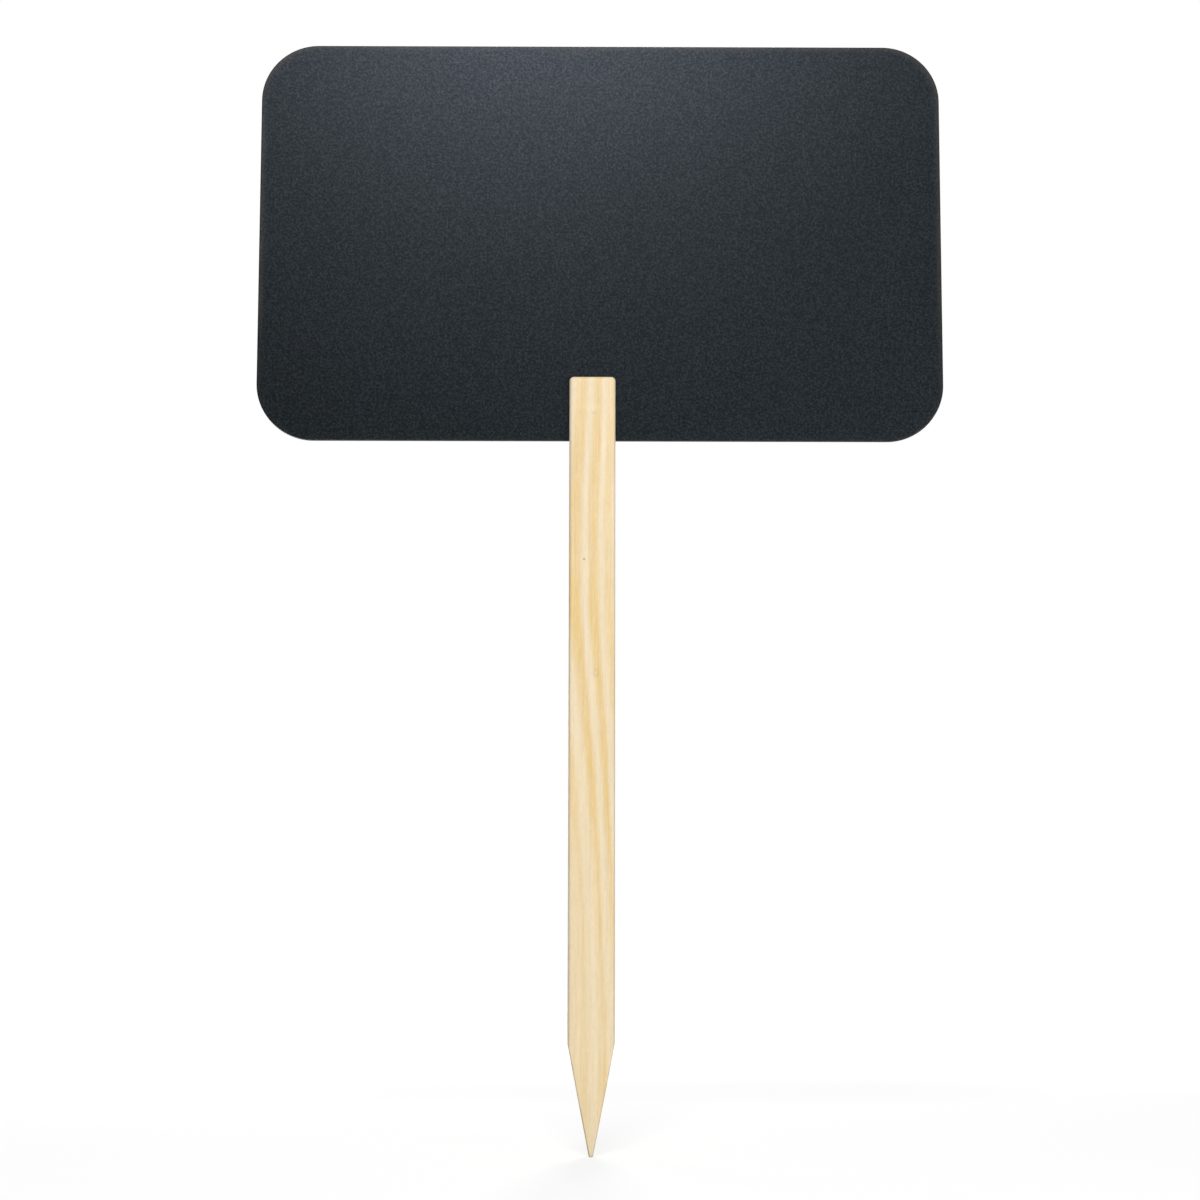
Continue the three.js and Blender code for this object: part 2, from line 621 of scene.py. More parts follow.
    def planed_colour(self, graph: ShaderGraph, place: Field, late: Field, fibre: Field) -> Field:
        """The colour of planed wood.

        Args:
            graph: The pine's nodes.
            place: The point, in millimetres.
            late: The share of late wood there.
            fibre: The pattern of the long fibres there.

        Returns:
            The colour.
        """
        _, _, z = graph.split(place)
        fleck = graph.noise(place, self.fleck)
        band = late * (self.boldness.at(graph, z) + self.fleck_contrast * fleck)
        colour = graph.mixed(band, self.early_wood, self.late_wood)
        at_foot = graph.stretched(colour, self.foot_tint)
        colour = graph.mixed(graph.step(z, *self.foot_span), colour, at_foot)

        streak = graph.noise(place, self.streak)
        short_fibre = graph.noise(place, self.short_fibre)
        mottle = graph.noise(place, self.mottle)
        pore = graph.step(graph.noise(place, self.pore), *self.pore_span)
        shade = 1.0 + self.fibre_contrast * fibre + self.streak_contrast * streak
        shade = shade - self.pore_contrast * pore
        shade = shade + self.short_fibre_contrast * short_fibre + self.mottle_contrast * mottle
        return graph.scaled(colour, shade)

    def sawn(self, graph: ShaderGraph, place: Field, sideways: Field) -> Field:
        """Where the wood is sawn: 1 on the slopes of the point and in the kerf, and 0 elsewhere.

        Args:
            graph: The pine's nodes.
            place: The point, in millimetres.
            sideways: How far the face lies sideways.

        Returns:
            The share.
        """
        _, y, z = graph.split(place)
        low_down = graph.step(z, self.point_length + self.slope_margin, self.point_length)
        on_slope = graph.step(sideways, *self.slope_lies) * low_down
        high_up = graph.step(z, self.kerf_floor - self.floor_margin, self.kerf_floor)
        in_kerf = graph.step(abs(y), self.kerf_half_width + self.kerf_margin, self.kerf_half_width) * high_up
        return graph.maths("MAXIMUM", on_slope, in_kerf)

    def make(self) -> bpy.types.Material:
        """Makes the pine.

        Returns:
            The material.
        """
        material = bpy.data.materials.new("planed_pine")
        graph = ShaderGraph(material)
        place = graph.place()
        _, y, z = graph.split(place)
        facing_x, _, facing_z = graph.facing()
        sideways = abs(facing_x)
        marks = [(mark, mark.presence(graph, place, self.front)) for mark in self.marks]

        swirl = sum(mark.swirl * presence for mark, presence in marks)
        late = GrowthRings(self.front).late_wood(graph, place, swirl)
        fibre = graph.noise(place, self.fibre)
        colour = self.planed_colour(graph, place, late, fibre)

        end = graph.step(abs(facing_z), *self.end_lies)
        sawn = self.sawn(graph, place, sideways)
        colour = graph.mixed(end * self.end_grain_share, colour, self.end_grain)
        saw_line = graph.maths("SINE", (z + self.saw_slant * y) * (math.tau / self.saw_spacing))
        colour = graph.scaled(colour, 1.0 - sawn * (self.sawn_darkness - self.saw_line_contrast * saw_line))
        # Painted shade: the eased edges, turned partly sideways, are darkened and greyed where the light
        # falls off round them.
        arris = graph.step(sideways, *self.arris_lies) * graph.step(sideways, *self.side_lies)
        colour = graph.mixed(arris, colour, graph.stretched(colour, self.arris_painted_shade))
        for mark, presence in marks:
            colour = graph.mixed(presence * mark.strength, colour, mark.colour)

        saw_marks = self.saw_line_relief * saw_line + graph.noise(place, self.sawn_fuzz)
        height = fibre + self.band_relief * late + sawn * saw_marks
        cut = graph.maths("MAXIMUM", sawn, end)
        graph.end(
            graph.node(
                "ShaderNodeBsdfPrincipled",
                inputs={
                    "Base Color": colour,
                    "Roughness": self.roughness - self.band_polish * late + self.sawn_roughness * cut,
                    "Specular IOR Level": self.sheen_level,
                    "Normal": graph.relief(height, self.relief_depth),
                },
            )
        )
        return material


@dataclass(frozen=True)
class ChalkFinish:
    """Blue-black chalkboard coating, speckled by its fine tooth, with a lighter band along its rim that is
    partly rubbing and partly painted highlight, strongest at the top.

    Lengths are in millimetres.

    Attributes:
        middle: The middle of the board.
        half_width: Half the board's width.
        half_height: Half the board's height.
        corner_radius: The radius of the board's corners.
        pigment: The colour of the coating.
        rim_wear_and_highlight_colour: The colour of the band along the rim, where the coating is rubbed thin
            and where painted highlight stands for light catching the rim.
        rim_band_width: How far in from the outline the band reaches.
        rim_band_fade: How steeply that fades inwards.
        rim_band_share: How strong the band is at the outline.
        rim_band_patch: The pattern in which the band differs from place to place.
        patch_contrast: How much it differs.
        rim_band_at_bottom: How much of the band is left along the lower edge, since the painted highlight is
            strongest at the top.
        sheen_colour: The tint of the reflection.
        sheen_level: How strong the reflection is.
        binder_gloss: How strong the clear gloss over it is.
        even_gloss: The share of that gloss which the specks leave alone.
        roughness: How rough the coating is.
        cloud_roughness: How much that differs in broad clouds.
        rim_roughness: How much rougher the eased rim is.
        rim_lies: How a face lies along y where it begins to be the eased rim, and where it is that.
        speck: The pattern of the tooth.
        speck_contrast: How much the tooth shows.
        speck_skew: How much more the light specks show than the dark ones.
        speck_depth: How high the tooth stands, in metres.
        cloud: The pattern of broad clouds.
        cloud_contrast: How much they show.
    """

    middle: Vector
    half_width: float
    half_height: float
    corner_radius: float
    pigment: Colour = (0.0040, 0.0066, 0.0070)
    rim_wear_and_highlight_colour: Colour = (0.038, 0.034, 0.028)
    rim_band_width: float = 4.4
    rim_band_fade: float = 2.0
    rim_band_share: float = 0.8
    rim_band_patch: Pattern = Pattern((18, 18, 18), 2.0)
    patch_contrast: float = 1.1
    rim_band_at_bottom: float = 0.1
    sheen_colour: Colour = (0.56, 0.72, 1.0)
    sheen_level: float = 0.165
    binder_gloss: float = 0.22
    even_gloss: float = 0.25
    roughness: float = 0.36
    cloud_roughness: float = 0.04
    rim_roughness: float = 0.12
    rim_lies: Span = (0.97, 0.6)
    speck: Pattern = Pattern((0.85, 0.85, 0.85))
    speck_contrast: float = 2.9
    speck_skew: float = 0.3
    speck_depth: float = 0.012 * MM
    cloud: Pattern = Pattern((55, 55, 55), 2.0)
    cloud_contrast: float = 0.3

    def inset(self, graph: ShaderGraph, place: Field) -> Field:
        """How far a point lies inside the board's outline.

        Args:
            graph: The coating's nodes.
            place: The point, in millimetres.

        Returns:
            The distance, in millimetres.
        """
        x, _, z = graph.split(place)
        across = abs(x - self.middle.x) - (self.half_width - self.corner_radius)
        up = abs(z - self.middle.z) - (self.half_height - self.corner_radius)
        past_across, past_up = (graph.maths("MAXIMUM", side, 0.0) for side in (across, up))
        round_the_corner = (past_across * past_across + past_up * past_up) ** 0.5
        along_the_side = graph.maths("MINIMUM", graph.maths("MAXIMUM", across, up), 0.0)
        return self.corner_radius - round_the_corner - along_the_side

    def rim_wear_and_highlight(self, graph: ShaderGraph, place: Field) -> Field:
        """The share of the rim band, which is partly rubbing and partly painted highlight from light falling
        from above: most along the outline of the board's upper half.

        Args:
            graph: The coating's nodes.
            place: The point, in millimetres.

        Returns:
            The share, from 0 to about 1.
        """
        _, _, z = graph.split(place)
        inwards = graph.step(self.inset(graph, place), self.rim_band_width, 0.0) ** self.rim_band_fade
        patch = self.rim_band_share + self.patch_contrast * graph.noise(place, self.rim_band_patch)
        # Painted highlight: the band grows towards the top, where light from above catches the rounded rim.
        upwards = graph.step(z, self.middle.z - self.half_height, self.middle.z)
        return inwards * patch * (self.rim_band_at_bottom + (1.0 - self.rim_band_at_bottom) * upwards)

    def make(self) -> bpy.types.Material:
        """Makes the coating.

        Returns:
            The material.
        """
        material = bpy.data.materials.new("chalkboard_coating")
        graph = ShaderGraph(material)
        place = graph.place()
        _, facing_y, _ = graph.facing()
        speck = graph.noise(place, self.speck)
        cloud = graph.noise(place, self.cloud)

        tooth = self.speck_contrast * speck
        grainy = 1.0 + tooth + self.speck_skew * tooth * tooth
        colour = graph.scaled(self.pigment, grainy + self.cloud_contrast * cloud)
        # The rim band: patchy rubbing plus painted highlight along the outline.
        colour = graph.mixed(self.rim_wear_and_highlight(graph, place), colour, self.rim_wear_and_highlight_colour)
        rim = graph.step(abs(facing_y), *self.rim_lies)
        graph.end(
            graph.node(
                "ShaderNodeBsdfPrincipled",
                inputs={
                    "Base Color": colour,
                    "Roughness": self.roughness + self.cloud_roughness * cloud + self.rim_roughness * rim,
                    "Specular IOR Level": self.sheen_level,
                    "Specular Tint": self.sheen_colour,
                    "Coat Weight": self.binder_gloss * (self.even_gloss + (1.0 - self.even_gloss) * grainy),
                    "Coat Roughness": self.roughness,
                    "Normal": graph.relief(speck, self.speck_depth),
                },
            )
        )
        return material


@dataclass(frozen=True)
class EdgePaintFinish:
    """Matt black paint that has soaked into the sawn edge of the panel.

    Attributes:
        paint: The colour of the paint.
        fibre_brown: The colour of the panel where the paint is thin.
        brown_share: How far the thinnest paint takes that colour.
        thin_span: Where in the patterns the paint begins to be thin and is thinnest.
        thin_patch: How much the patches count in that, beside the fibres.
        fibre: The pattern of the panel's fibres.
        fibre_contrast: How much they show.
        fibre_depth: How high they stand, in metres.
        patch: The pattern of patches.
        patch_contrast: How much they show.
        roughness: How rough the paint is.
        patch_roughness: How much that differs in patches.
        sheen_level: How strong the reflection is.
    """

    paint: Colour = (0.0085, 0.0092, 0.0102)
    fibre_brown: Colour = (0.030, 0.024, 0.018)
    brown_share: float = 0.6
    thin_span: Span = (0.18, 0.42)
    thin_patch: float = 0.7
    fibre: Pattern = Pattern((1.4, 0.25, 1.4), 2.0)
    fibre_contrast: float = 0.9
    fibre_depth: float = 0.06 * MM
    patch: Pattern = Pattern((14, 14, 14), 2.0)
    patch_contrast: float = 0.6
    roughness: float = 0.62
    patch_roughness: float = 0.2
    sheen_level: float = 0.3

    def make(self) -> bpy.types.Material:
        """Makes the paint.

        Returns:
            The material.
        """
        material = bpy.data.materials.new("black_edge_paint")
        graph = ShaderGraph(material)
        place = graph.place()
        fibre = graph.noise(place, self.fibre)
        patch = graph.noise(place, self.patch)

        colour = graph.scaled(self.paint, 1.0 + self.fibre_contrast * fibre + self.patch_contrast * patch)
        thin = graph.step(fibre + self.thin_patch * patch, *self.thin_span)
        colour = graph.mixed(thin * self.brown_share, colour, self.fibre_brown)
        graph.end(
            graph.node(
                "ShaderNodeBsdfPrincipled",
                inputs={
                    "Base Color": colour,
                    "Roughness": self.roughness + self.patch_roughness * patch,
                    "Specular IOR Level": self.sheen_level,
                    "Normal": graph.relief(fibre, self.fibre_depth),
                },
            )
        )
        return material


@dataclass(frozen=True)
class FloorFinish:
    """A white floor. Most of its white lights nothing and is only seen, and the rest takes the shadow.

    Lengths are in millimetres.

    Attributes:
        own_white: How white it is of itself at the object's foot.
        far_white: How white it is of itself further off.
        far_starts: How far from the foot it begins to turn whiter.
        far_ends: How far from the foot it is whitest.
        shadow_share: The share of the lamps' light that it shows, less where there is shadow.
        bounce: The share of the lamps' light that it throws back at the object.
    """

    own_white: float = 0.80
    far_white: float = 1.0
    far_starts: float = 500.0
    far_ends: float = 1400.0
    shadow_share: float = 0.25
    bounce: float = 0.6

    def make(self) -> bpy.types.Material:
        """Makes the floor's material.

        Returns:
            The material.
        """
        material = bpy.data.materials.new("white_floor")
        graph = ShaderGraph(material)
        path = graph.node("ShaderNodeLightPath")
        rays = ("Is Camera Ray", "Is Glossy Ray", "Is Transmission Ray")
        camera, glossy, through = (graph.field(path, ray) for ray in rays)
        seen = graph.maths("MAXIMUM", camera, graph.maths("MAXIMUM", glossy, through))
        x, y, _ = graph.split(graph.place())
        far = graph.step((x * x + y * y) ** 0.5, self.far_starts, self.far_ends)
        own = self.own_white + far * (self.far_white - self.own_white)
        grey = self.bounce + seen * (self.shadow_share - self.bounce)
        matt = graph.node("ShaderNodeBsdfDiffuse", inputs={"Color": graph.scaled((1.0, 1.0, 1.0), grey)})
        white = graph.node("ShaderNodeEmission", inputs={"Color": (1.0, 1.0, 1.0), "Strength": seen * own})
        graph.end(graph.node("ShaderNodeAddShader", inputs={0: graph.field(matt), 1: graph.field(white)}))
        return material


@dataclass
class Workpiece:
    """A mesh on the bench, shaped step by step with Blender's own operators.

    Attributes:
        object: The object that holds the mesh.
    """

    object: bpy.types.Object

    @classmethod
    def named(cls, name: str) -> Workpiece:
        """Puts the object that was made last on the bench under a name.

        Args:
            name: The piece's name.

        Returns:
            The piece.
        """
        piece = cls(bpy.context.object)
        piece.object.name = name
        piece.object.data.name = name
        return piece

    @classmethod
    def block(cls, name: str, low: Vector, high: Vector) -> Workpiece:
        """Starts a piece from a block.

        Args:
            name: The piece's name.
            low: The block's lowest corner.
            high: The block's highest corner.

        Returns:
            The block.
        """
        bpy.ops.object.select_all(action="DESELECT")
        bpy.ops.mesh.primitive_cube_add(size=1, location=(low + high) / 2, scale=high - low)
        bpy.ops.object.transform_apply(location=True, rotation=True, scale=True)
        return cls.named(name)

    def copied(self, name: str) -> Workpiece:
        """Another piece of the same shape, with its own mesh.

        Args:
            name: The copy's name.

        Returns:
            The copy.
        """
        self.choose()
        bpy.ops.object.duplicate(linked=False)
        return Workpiece.named(name)

    def choose(self) -> None:
        """Makes this the only selected object."""
        bpy.ops.object.select_all(action="DESELECT")
        self.object.select_set(True)
        bpy.context.view_layer.objects.active = self.object

    @contextmanager
    def editing(self) -> Iterator[bmesh.types.BMesh]:
        """Opens the mesh in edit mode with nothing selected.

        Yields:
            The mesh, to select parts of it by their place.
        """
        self.choose()
        bpy.ops.object.mode_set(mode="EDIT")
        bpy.ops.mesh.select_mode(type="EDGE")
        bpy.ops.mesh.select_all(action="DESELECT")
        yield bmesh.from_edit_mesh(self.object.data)
        bpy.ops.object.mode_set(mode="OBJECT")

    def round_edges(self, chosen: EdgeTest, width: float, steps: int) -> None:
        """Rounds over some edges.

        Args:
            chosen: Says whether an edge is one of them.
            width: How far the rounding reaches from the edge.
            steps: Faces across the rounding.
        """
        with self.editing() as mesh:
            for edge in [e for e in mesh.edges if chosen(e)]:
                edge.select_set(True)
            bmesh.update_edit_mesh(self.object.data)
            bpy.ops.mesh.bevel(offset=width, segments=steps, affect="EDGES", clamp_overlap=True)

    def round_by_share(self, shares: EdgeShare, width: float, steps: int) -> None:
        """Rounds over some edges, each to its own share of a width.

        Args:
            shares: The share for an edge, from 0, which leaves it sharp, to 1.
            width: How far a full rounding reaches from the edge.
            steps: Faces across a rounding.
        """
        with self.editing() as mesh:
            weights = mesh.edges.layers.float.new("bevel_weight_edge")
            for edge in mesh.edges:
                edge[weights] = shares(edge)
            bmesh.update_edit_mesh(self.object.data)
        self.choose()
        rounding = self.object.modifiers.new("rounding", "BEVEL")
        rounding.limit_method = "WEIGHT"
        rounding.width = width
        rounding.segments = steps
        rounding.use_clamp_overlap = True
        bpy.ops.object.modifier_apply(modifier=rounding.name)

    def saw(self, point: Vector, normal: Vector) -> None:
        """Saws off what lies beyond a plane and closes the cut.

        Args:
            point: A point on the plane.
            normal: The way that the removed side lies.
        """
        with self.editing():
            bpy.ops.mesh.select_all(action="SELECT")
            bpy.ops.mesh.bisect(plane_co=point, plane_no=normal, use_fill=True, clear_outer=True)

    def groove(self, low: Vector, high: Vector) -> None:
        """Cuts a square groove out of the piece.

        Args:
            low: The groove's lowest corner.
            high: The groove's highest corner.
        """
        blade = Workpiece.block("blade", low, high)
        self.choose()
        cut = self.object.modifiers.new("groove", "BOOLEAN")
        cut.operation = "DIFFERENCE"
        cut.solver = "EXACT"
        cut.object = blade.object
        bpy.ops.object.modifier_apply(modifier=cut.name)
        bpy.data.meshes.remove(blade.object.data)

    def clean(self) -> None:
        """Merges doubles and turns the faces outwards."""
        with self.editing():
            bpy.ops.mesh.select_all(action="SELECT")
            bpy.ops.mesh.remove_doubles(threshold=SAME_PLACE)
            bpy.ops.mesh.normals_make_consistent(inside=False)

    def finished(self, material: bpy.types.Material, crease: float = 40.0) -> bpy.types.Object:
        """Cleans the mesh, smooths its rounded edges and gives the piece its material.

        Args:
            material: The finish.
            crease: The angle between two faces past which their edge stays sharp, in degrees.

        Returns:
            The finished object.
        """
        self.clean()
        self.choose()
        bpy.ops.object.shade_smooth_by_angle(angle=math.radians(crease))
        even = self.object.modifiers.new("even_faces", "WEIGHTED_NORMAL")
        even.keep_sharp = True
        bpy.ops.object.modifier_apply(modifier=even.name)
        self.object.data.materials.clear()
        self.object.data.materials.append(material)
        return self.object


@dataclass
class PineStake:
    """The stake: planed strip with eased edges, sawn to a two-sided point, with a saw kerf in its head.

    Attributes:
        low: The stake's lowest corner.
        high: The stake's highest corner.
        kerf_floor: The height of the kerf's floor, on which the board stands.
        board_thickness: The thickness of the board in the kerf.
        kerf_clearance: The room on each side of the board.
        kerf_edge_ease: How far the kerf's edges are broken.
        kerf_edge_steps: Faces across a broken edge.
        arris_radius: How far the long edges and the head's edges are rounded.
        head_corner_radius: How far the head's corners are rounded, seen from the front.
        point_length: The height of the sawn point.
        tip_radius: The radius of its blunt tip.
        sawn_edge_share: How far the point's edges are rounded, as a share of the long edges' rounding.
        rounding_steps: Faces across a rounded edge.
    """

    low: Vector
    high: Vector
    kerf_floor: float
    board_thickness: float
    kerf_clearance: float = 0.2 * MM
    kerf_edge_ease: float = 0.12 * MM
    kerf_edge_steps: int = 2
    arris_radius: float = 1.5 * MM
    head_corner_radius: float = 1.9 * MM
    point_length: float = 47.0 * MM
    tip_radius: float = 1.0 * MM
    sawn_edge_share: float = 0.5
    rounding_steps: int = 6

    @property
    def kerf_half_width(self) -> float:
        """Half the width of the kerf."""
        return self.board_thickness / 2 + self.kerf_clearance

    def slope_lean(self) -> float:
        """How steeply the point is sawn, so that its slopes run into the blunt tip.

        Returns:
            The angle between a slope and the stake's axis, in radians.
        """
        side = self.high.x
        rise = self.point_length - self.tip_radius
        return math.acos(self.tip_radius / math.hypot(side, rise)) - math.atan2(rise, side)

    def saw_point(self, stake: Workpiece) -> None:
        """Saws the two slopes of the point and rounds its tip.

        Args:
            stake: The strip.
        """
        lean = self.slope_lean()
        for side in (-1, 1):
            shoulder = Vector((side * self.high.x, 0.0, self.point_length))
            stake.saw(shoulder, Vector((side * math.cos(lean), 0.0, -math.sin(lean))))

        def at_tip(edge: bmesh.types.BMEdge) -> bool:
            """Whether an edge runs from front to back along the tip."""
            first, second = (v.co for v in edge.verts)
            return near(first.z, self.low.z) and near(second.z, self.low.z) and near(first.x, second.x)

        stake.round_edges(at_tip, self.tip_radius * math.tan(math.pi / 4 - lean / 2), self.rounding_steps)
        stake.clean()

    def build(self) -> Workpiece:
        """Models the stake.

        Returns:
            The stake on the bench.
        """
        stake = Workpiece.block("pine_stake", self.low, self.high)

        def head_corner(edge: bmesh.types.BMEdge) -> bool:
            """Whether an edge is a corner of the head, seen from the front."""
            first, second = (v.co for v in edge.verts)
            return near(first.z, self.high.z) and near(second.z, self.high.z) and near(first.x, second.x)

        def rounding_share(edge: bmesh.types.BMEdge) -> float:
            """How far an edge is rounded: fully along a planed face, less along the sawn point.

            Args:
                edge: The edge.

            Returns:
                The share of the full rounding, from 0 to 1.
            """
            first, second = (v.co for v in edge.verts)
            if not (near(first.y, second.y) and near(abs(first.y), self.high.y)):
                return 0.0
            below_shoulder = (first.z + second.z) / 2 < self.point_length - SAME_PLACE
            return self.sawn_edge_share if below_shoulder else 1.0

        stake.round_edges(head_corner, self.head_corner_radius, self.rounding_steps)
        self.saw_point(stake)
        stake.round_by_share(rounding_share, self.arris_radius, self.rounding_steps)

        past = self.high.x
        stake.groove(
            Vector((self.low.x - past, -self.kerf_half_width, self.kerf_floor)),
            Vector((self.high.x + past, self.kerf_half_width, self.high.z + past)),
        )

        def kerf_mouth(edge: bmesh.types.BMEdge) -> bool:
            """Whether an edge lies where the kerf comes out of the wood.

            Args:
                edge: The edge.

            Returns:
                Whether it does.
            """
            first, second = (v.co for v in edge.verts)
            on_wall = near(first.y, second.y) and near(abs(first.y), self.kerf_half_width)
            above_floor = max(first.z, second.z) > self.kerf_floor + SAME_PLACE
            return on_wall and above_floor

        stake.round_edges(kerf_mouth, self.kerf_edge_ease, self.kerf_edge_steps)
        return stake

    def dress(self, stake: Workpiece) -> bpy.types.Object:
        """Gives the stake its pine and sets it on its body.

        Args:
            stake: The modelled stake.

        Returns:
            The finished object.
        """
        pine = PineFinish(
            front=self.low.y / MM,
            point_length=self.point_length / MM,
            kerf_floor=self.kerf_floor / MM,
            kerf_half_width=self.kerf_half_width / MM,
        )
        piece = stake.finished(pine.make())
        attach(piece, "stake")
        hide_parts("stake")
        return piece


class Layer(Enum):
    """A layer of the board: the name of its piece, and the CAD node that it stands for."""

    FRONT = ("front_writing_skin", "front_chalk_face")
    CORE = ("black_edged_panel", "board_core")
    BACK = ("back_writing_skin", "back_chalk_face")

    @property
    def piece_name(self) -> str:
        """The name of the piece."""
        return self.value[0]

    @property
    def node(self) -> str:
        """The CAD node that the piece stands for."""
        return self.value[1]


@dataclass
class WritingBoard:
    """The board: a thin panel with round corners and a chalk coating on each side.

    Attributes:
        low: The board's lowest corner.
        high: The board's highest corner.
        core_front: Where the panel's front lies along y, under the front coating.
        core_back: Where the panel's back lies along y.
        corner_radius: The radius of the corners.
        rim_ease: How far the rim is rounded on both faces.
        corner_steps: Faces round a corner.
        rim_steps: Faces across the rounded rim.
    """

    low: Vector
    high: Vector
    core_front: float
    core_back: float
    corner_radius: float = 25.0 * MM
    rim_ease: float = 0.5 * MM
    corner_steps: int = 32
    rim_steps: int = 5

    def blank(self) -> Workpiece:
        """Models the whole board before it is split into layers.

        Returns:
            The blank.
        """
        board = Workpiece.block("board_blank", self.low, self.high)

        def corner(edge: bmesh.types.BMEdge) -> bool:
            """Whether an edge runs through the board at a corner."""
            first, second = (v.co for v in edge.verts)
            return near(first.x, second.x) and near(first.z, second.z)

        def rim(edge: bmesh.types.BMEdge) -> bool:
            """Whether an edge goes round the front or the back."""
            first, second = (v.co for v in edge.verts)
            return near(first.y, second.y)

        board.round_edges(corner, self.corner_radius, self.corner_steps)
        board.round_edges(rim, self.rim_ease, self.rim_steps)
        return board

    def build(self) -> dict[Layer, Workpiece]:
        """Models the board's layers.

        Returns:
            Each layer on the bench.
        """
        forwards, backwards = Vector((0, -1, 0)), Vector((0, 1, 0))
        front_seam, back_seam = Vector((0, self.core_front, 0)), Vector((0, self.core_back, 0))
        cuts = {
            Layer.FRONT: [(front_seam, backwards)],
            Layer.CORE: [(front_seam, forwards), (back_seam, backwards)],
            Layer.BACK: [(back_seam, forwards)],
        }
        blank = self.blank()
        layers = {}
        for layer, planes in cuts.items():
            layers[layer] = blank.copied(layer.piece_name)
            for point, normal in planes:
                layers[layer].saw(point, normal)
        bpy.data.meshes.remove(blank.object.data)
        return layers

    def dress(self, layers: dict[Layer, Workpiece]) -> list[bpy.types.Object]:
        """Gives the layers their finishes and sets them on their body.

        Args:
            layers: The modelled layers.

        Returns:
            The finished objects.
        """
        size = (self.high - self.low) / MM
        coating = ChalkFinish(
            middle=(self.low + self.high) / 2 / MM,
            half_width=size.x / 2,
            half_height=size.z / 2,
            corner_radius=self.corner_radius / MM,
        )
        chalk, paint = coating.make(), EdgePaintFinish().make()
        pieces = []
        for layer, workpiece in layers.items():
            is_core = layer is Layer.CORE
            piece = workpiece.finished(paint if is_core else chalk)
            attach(piece, "board")
            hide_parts(layer.node)
            pieces.append(piece)
        return pieces


@dataclass(frozen=True)
class SoftBox:
    """A square studio lamp that isn't seen itself.

    Attributes:
        name: The lamp's name.
        place: Where it hangs.
        target: What it is aimed at.
        width: The side of its square.
        watts: Its power.
    """

    name: str
    place: Vector
    target: Vector
    width: float
    watts: float

    def turned_round(self) -> SoftBox:
        """The same lamp half a turn round the stake."""
        half_turn = Vector((-1.0, -1.0, 1.0))
        return replace(self, name=f"rear_{self.name}", place=self.place * half_turn)

    def build(self) -> bpy.types.Object:
        """Hangs the lamp, aimed at its target.

        Returns:
            The lamp.
        """
        turn = (self.target - self.place).to_track_quat("-Z", "Y").to_euler()
        bpy.ops.object.light_add(type="AREA", location=self.place, rotation=turn)
        lamp = bpy.context.object
        lamp.name = self.name
        lamp.data.shape = "SQUARE"
        lamp.data.size = self.width
        lamp.data.energy = self.watts
        lamp.visible_camera = False
        return lamp


@dataclass(frozen=True)
class PhotoCamera:
    """A camera low in front of the stake, tilted up, with a long lens.

    Attributes:
        place: Where it stands.
        lens: Its focal length, in millimetres.
        sensor: The width of its sensor, in millimetres.
        tilt_up: How far it looks up from the level, in radians.
        turn_right: How far it looks to the right, in radians.
        roll: How far it is turned about its own line of sight, in radians.
    """

    place: Vector = Vector((-1.12, -1114.81, 89.16)) * MM
    lens: float = 78.0
    sensor: float = 36.0
    tilt_up: float = math.radians(7.509)
    turn_right: float = math.radians(0.235)
    roll: float = math.radians(0.102)

    def build(self) -> bpy.types.Object:
        """Sets the camera up and makes it the scene's own.

        Returns:
            The camera.
        """
        level = Euler((math.pi / 2 + self.tilt_up, 0.0, -self.turn_right)).to_matrix()
        turn = (level @ Matrix.Rotation(self.roll, 3, "Z")).to_euler()
        bpy.ops.object.camera_add(location=self.place, rotation=turn)
        camera = bpy.context.object
        camera.name = "photo_camera"
        camera.data.lens = self.lens
        camera.data.sensor_width = self.sensor
        bpy.context.scene.camera = camera
        return camera


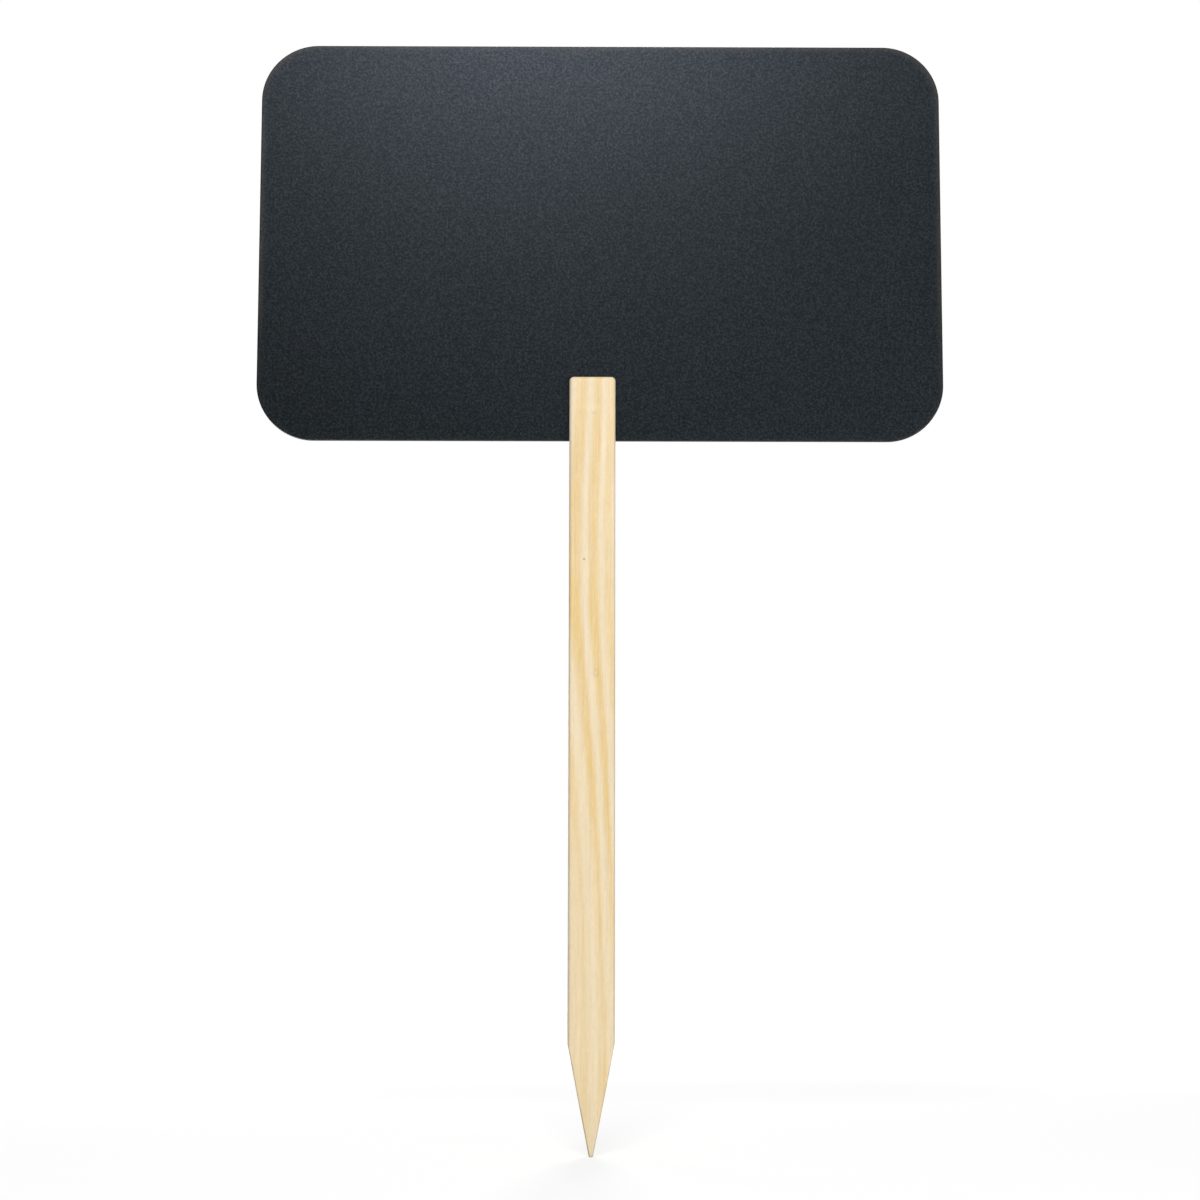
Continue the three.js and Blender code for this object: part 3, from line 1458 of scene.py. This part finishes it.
@dataclass
class Studio:
    """A white floor in a white room, lit by two soft lamps in front and the same two again behind.

    Attributes:
        subject: The middle of the board, which the key lamps are aimed at.
        floor_level: The height of the floor.
        floor_width: The side of the floor's square.
        room_light: How bright the room is where it isn't seen.
    """

    subject: Vector
    floor_level: float
    floor_width: float = 8.0
    room_light: float = 0.04

    def lamps(self) -> list[SoftBox]:
        """The lamps: a key high in front, a low one to its right, and the same two behind.

        Returns:
            The lamps, not hung yet.
        """
        foot = Vector((0.0, 0.0, 0.1))
        front = [
            SoftBox("key_lamp", Vector((-0.063, -1.3, 1.26)), self.subject, width=0.3, watts=14.85),
            SoftBox("right_lamp", Vector((0.6, -1.0, 0.12)), foot, width=0.4, watts=6.6),
        ]
        return front + [lamp.turned_round() for lamp in front]

    def floor(self) -> bpy.types.Object:
        """Lays the floor under the tip of the stake.

        Returns:
            The floor.
        """
        bpy.ops.object.select_all(action="DESELECT")
        bpy.ops.mesh.primitive_plane_add(size=self.floor_width, location=(0.0, 0.0, self.floor_level))
        bpy.ops.object.transform_apply(location=True, rotation=True, scale=True)
        floor = bpy.context.object
        floor.name = "floor"
        floor.data.materials.append(FloorFinish().make())
        return floor

    def room(self) -> bpy.types.World:
        """Makes the room: white where it is seen straight or through glass, and dim for everything else.

        Returns:
            The world.
        """
        world = bpy.data.worlds.new("white_room")
        bpy.context.scene.world = world
        graph = ShaderGraph(world)
        path = graph.node("ShaderNodeLightPath")
        camera, through = (graph.field(path, ray) for ray in ("Is Camera Ray", "Is Transmission Ray"))
        seen = graph.maths("MAXIMUM", camera, through)
        strength = self.room_light + seen * (1.0 - self.room_light)
        inputs = {"Color": (1.0, 1.0, 1.0), "Strength": strength}
        graph.end(graph.node("ShaderNodeBackground", inputs=inputs), "ShaderNodeOutputWorld")
        return world

    def build(self) -> None:
        """Sets up the camera, the floor, the room and the lamps."""
        bpy.context.scene.view_settings.view_transform = "Standard"
        PhotoCamera().build()
        self.floor()
        self.room()
        for lamp in self.lamps():
            lamp.build()
            LOG.info("lamp %s, %.1f W", lamp.name, lamp.watts)


def main() -> None:
    """Builds the studio, the stake and the board, and reports each piece."""
    logging.basicConfig(level=logging.INFO, format="%(name)s: %(message)s")
    stake_low, stake_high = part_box("stake")
    core_low, core_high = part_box("board_core")
    board_low = Vector((core_low.x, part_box("front_chalk_face")[0].y, core_low.z))
    board_high = Vector((core_high.x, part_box("back_chalk_face")[1].y, core_high.z))

    Studio(subject=(board_low + board_high) / 2, floor_level=stake_low.z).build()

    stake = PineStake(
        low=stake_low,
        high=stake_high,
        kerf_floor=core_low.z,
        board_thickness=board_high.y - board_low.y,
    )
    board = WritingBoard(low=board_low, high=board_high, core_front=core_low.y, core_back=core_high.y)
    for piece in [stake.dress(stake.build()), *board.dress(board.build())]:
        LOG.info("piece %s, %d faces", piece.name, len(piece.data.polygons))


if __name__ == "__main__":
    main()
